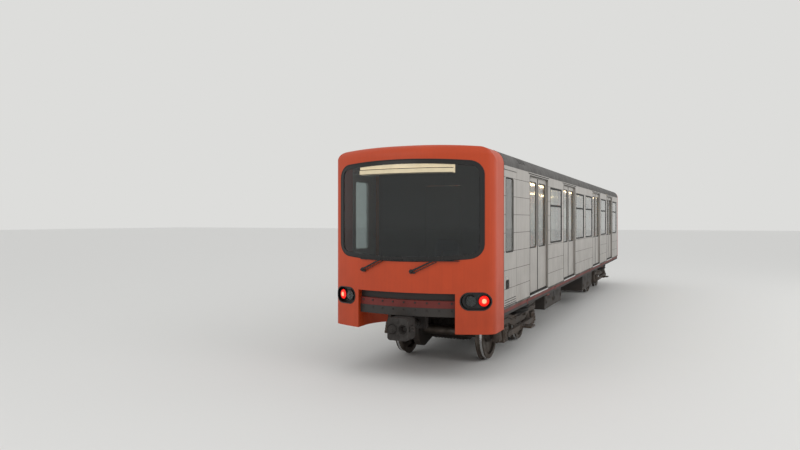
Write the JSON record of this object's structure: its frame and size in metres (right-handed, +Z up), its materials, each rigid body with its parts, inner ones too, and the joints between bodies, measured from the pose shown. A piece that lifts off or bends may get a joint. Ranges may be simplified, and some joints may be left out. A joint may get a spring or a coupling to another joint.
{
  "type": "metro car",
  "caption": "Metro car with a driver's cab in a curved orange front, silver seamed sides, double sliding doors and two swivelling bogies.",
  "frame": {"origin": "on the floor under the wheel flanges, midway over the couplers and across the car", "axes": "+Z up, -Y towards the cab, +X to the car's left side"},
  "size_m": [2.716, 18.2, 3.574],
  "materials": {
    "orange_paint": "gloss",
    "silver_paint": "satin",
    "roof_grey": "matte",
    "sole_red": "matte",
    "underframe_black": "matte",
    "bogie_grey": "rough",
    "wheel_steel": "worn",
    "black_rubber": "matte",
    "tinted_glass": "clear",
    "screen_glass": "clear",
    "clear_glass": "clear",
    "black_trim": "gloss",
    "sill_alloy": "satin",
    "lining_orange": "satin",
    "ceiling_cream": "satin",
    "floor_brown": "matte",
    "seat_orange": "satin",
    "pole_steel": "polished",
    "light_white": "lit",
    "desk_grey": "textured",
    "driver_fabric": "woven",
    "head_lens": "clear",
    "tail_lens": "lit",
    "coupler_steel": "greased"
  },
  "bodies": {
    "car": {"outer_frame": "sole_red", "cross_members": "underframe_black", "floor": "floor_brown", "side_panels": "silver_paint", "side_linings": "lining_orange", "window_frames": "black_rubber", "window_glass": "tinted_glass", "sill_rails": "sill_alloy", "cantrails": "silver_paint", "roof": "roof_grey", "cove_grilles": "roof_grey", "ceiling": "ceiling_cream", "light_strips": "light_white", "end_wall": "silver_paint", "end_ring": "orange_paint", "front_mask": "orange_paint", "windscreen_border": "black_trim", "windscreen": "screen_glass", "destination_box": "light_white", "wipers": "black_trim", "lamp_housings": "black_trim", "head_lamps": "head_lens", "tail_lamps": "tail_lens", "cab_bulkhead": "desk_grey", "driver_desk": "desk_grey", "driver_seat": "driver_fabric", "saloon_seats": "seat_orange", "grab_rails": "pole_steel", "draught_screens": "clear_glass", "equipment_cases": "underframe_black", "air_reservoirs": "underframe_black", "couplers": "coupler_steel"},
    "doors_left_fore": {"door_leaves_left_fore": "silver_paint", "door_glass_left_fore": "tinted_glass"},
    "doors_left_aft": {"door_leaves_left_aft": "silver_paint", "door_glass_left_aft": "tinted_glass"},
    "cab_door_left": {"cab_door_left": "silver_paint", "cab_door_glass_left": "tinted_glass"},
    "doors_right_fore": {"door_leaves_right_fore": "silver_paint", "door_glass_right_fore": "tinted_glass"},
    "doors_right_aft": {"door_leaves_right_aft": "silver_paint", "door_glass_right_aft": "tinted_glass"},
    "cab_door_right": {"cab_door_right": "silver_paint", "cab_door_glass_right": "tinted_glass"},
    "bulkhead_door": {"bulkhead_door": "desk_grey"},
    "end_door": {"end_door": "silver_paint", "end_door_glass": "tinted_glass"},
    "bogie_front": {"bogie_frame_front": "bogie_grey", "air_springs_front": "black_rubber", "axle_boxes_front": "bogie_grey", "traction_motors_front": "underframe_black"},
    "wheelset_front_leading": {"wheelset_front_leading": "wheel_steel"},
    "wheelset_front_trailing": {"wheelset_front_trailing": "wheel_steel"},
    "bogie_rear": {"bogie_frame_rear": "bogie_grey", "air_springs_rear": "black_rubber", "axle_boxes_rear": "bogie_grey", "traction_motors_rear": "underframe_black"},
    "wheelset_rear_leading": {"wheelset_rear_leading": "wheel_steel"},
    "wheelset_rear_trailing": {"wheelset_rear_trailing": "wheel_steel"}
  },
  "joints": [
    {"name": "doors_left_fore_slide", "type": "slide", "parent": "car", "child": "doors_left_fore", "axis": [0, -1, 0], "range_m": [0, 0.78]},
    {"name": "doors_left_aft_slide", "type": "slide", "parent": "car", "child": "doors_left_aft", "axis": [0, 1, 0], "range_m": [0, 0.78]},
    {"name": "cab_door_left_hinge", "type": "hinge", "parent": "car", "child": "cab_door_left", "pos_m": [1.297, -7.177, 2.15], "axis": [0, 0, -1], "range_deg": [0, 85]},
    {"name": "doors_right_fore_slide", "type": "slide", "parent": "car", "child": "doors_right_fore", "axis": [0, -1, 0], "range_m": [0, 0.78]},
    {"name": "doors_right_aft_slide", "type": "slide", "parent": "car", "child": "doors_right_aft", "axis": [0, 1, 0], "range_m": [0, 0.78]},
    {"name": "cab_door_right_hinge", "type": "hinge", "parent": "car", "child": "cab_door_right", "pos_m": [-1.297, -7.177, 2.15], "axis": [0, 0, 1], "range_deg": [0, 85]},
    {"name": "bulkhead_door_hinge", "type": "hinge", "parent": "car", "child": "bulkhead_door", "pos_m": [-0.325, -7.007, 2.15], "axis": [0, 0, 1], "range_deg": [0, 90]},
    {"name": "end_door_hinge", "type": "hinge", "parent": "car", "child": "end_door", "pos_m": [-0.325, 8.847, 2.15], "axis": [0, 0, -1], "range_deg": [0, 90]},
    {"name": "bogie_front_swivel", "type": "hinge", "parent": "car", "child": "bogie_front", "pos_m": [0, -5.85, 0.7], "axis": [0, 0, 1], "range_deg": [-6, 6]},
    {"name": "wheelset_front_leading_spin", "type": "hinge", "parent": "bogie_front", "child": "wheelset_front_leading", "pos_m": [0, -6.9, 0.458], "axis": [1, 0, 0], "continuous": true},
    {"name": "wheelset_front_trailing_spin", "type": "hinge", "parent": "bogie_front", "child": "wheelset_front_trailing", "pos_m": [0, -4.8, 0.458], "axis": [1, 0, 0], "continuous": true},
    {"name": "bogie_rear_swivel", "type": "hinge", "parent": "car", "child": "bogie_rear", "pos_m": [0, 5.85, 0.7], "axis": [0, 0, 1], "range_deg": [-6, 6]},
    {"name": "wheelset_rear_leading_spin", "type": "hinge", "parent": "bogie_rear", "child": "wheelset_rear_leading", "pos_m": [0, 4.8, 0.458], "axis": [1, 0, 0], "continuous": true},
    {"name": "wheelset_rear_trailing_spin", "type": "hinge", "parent": "bogie_rear", "child": "wheelset_rear_trailing", "pos_m": [0, 6.9, 0.458], "axis": [1, 0, 0], "continuous": true}
  ],
  "couplings": [
    {"joint": "doors_left_aft_slide", "follows": "doors_left_fore_slide", "ratio": 1},
    {"joint": "doors_right_aft_slide", "follows": "doors_right_fore_slide", "ratio": 1}
  ]
}
